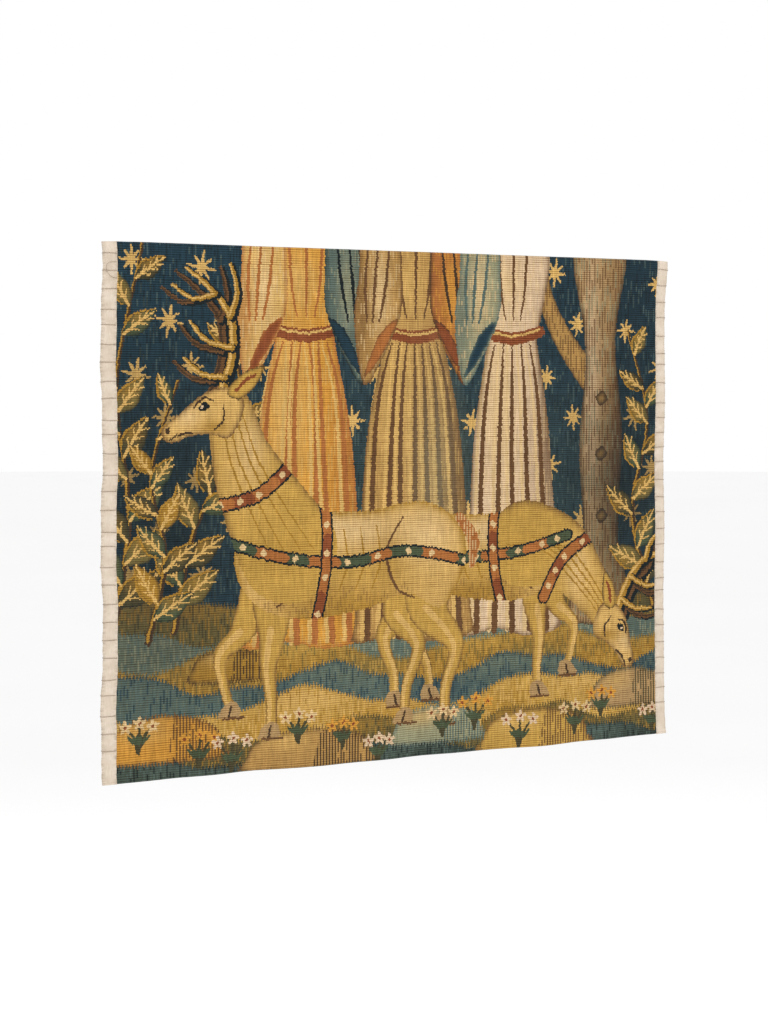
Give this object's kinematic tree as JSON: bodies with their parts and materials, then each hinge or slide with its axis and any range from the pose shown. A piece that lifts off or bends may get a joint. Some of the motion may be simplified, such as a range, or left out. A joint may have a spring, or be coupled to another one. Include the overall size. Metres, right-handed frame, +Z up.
{
  "type": "tapestry wall hanging",
  "caption": "Lined wool tapestry with folded cream edge bands, held by a wooden bar in a rod sleeve on its back, with a D-ring hanger at each end of the bar.",
  "frame": {"origin": "middle of the rod sleeve's back face, which lies against the wall", "axes": "+X along the top edge, to the right as seen from the picture side; +Y towards the wall; +Z up"},
  "size_m": [0.714, 0.0213, 0.575],
  "materials": {
    "tapestry_wool": "ribbed tapestry weave in many dyed wools",
    "undyed_band": "ribbed weave in undyed yarn",
    "overcast_thread": "two-ply sewing thread",
    "lining_cotton": "plain-weave unbleached cotton",
    "sleeve_cotton": "plain-weave unbleached cotton",
    "bare_wood": "sanded, unvarnished softwood",
    "hanger_brass": "brass plate, lightly worn",
    "screw_steel": "zinc-plated steel"
  },
  "bodies": {
    "hanging": {"tapestry_panel": "tapestry_wool", "left_edge_band": "undyed_band", "right_edge_band": "undyed_band", "left_overcast_thread": "overcast_thread", "right_overcast_thread": "overcast_thread", "lining": "lining_cotton", "rod_sleeve": "sleeve_cotton"},
    "bar": {"hanging_bar": "bare_wood", "left_hanger_plate": "hanger_brass", "right_hanger_plate": "hanger_brass", "left_upper_screw": "screw_steel", "left_lower_screw": "screw_steel", "right_upper_screw": "screw_steel", "right_lower_screw": "screw_steel"},
    "left_ring": {"left_hanger_ring": "hanger_brass"},
    "right_ring": {"right_hanger_ring": "hanger_brass"}
  },
  "joints": [
    {"name": "bar_slide", "type": "slide", "parent": "hanging", "child": "bar", "axis": [1, 0, 0], "range_m": [-0.63, 0.63]},
    {"name": "left_ring_swing", "type": "hinge", "parent": "bar", "child": "left_ring", "pos_m": [-0.3055, -0.0038, 0.0072], "axis": [-1, 0, 0], "range_deg": [0, 170]},
    {"name": "right_ring_swing", "type": "hinge", "parent": "bar", "child": "right_ring", "pos_m": [0.3055, -0.0038, 0.0072], "axis": [-1, 0, 0], "range_deg": [0, 170]}
  ]
}
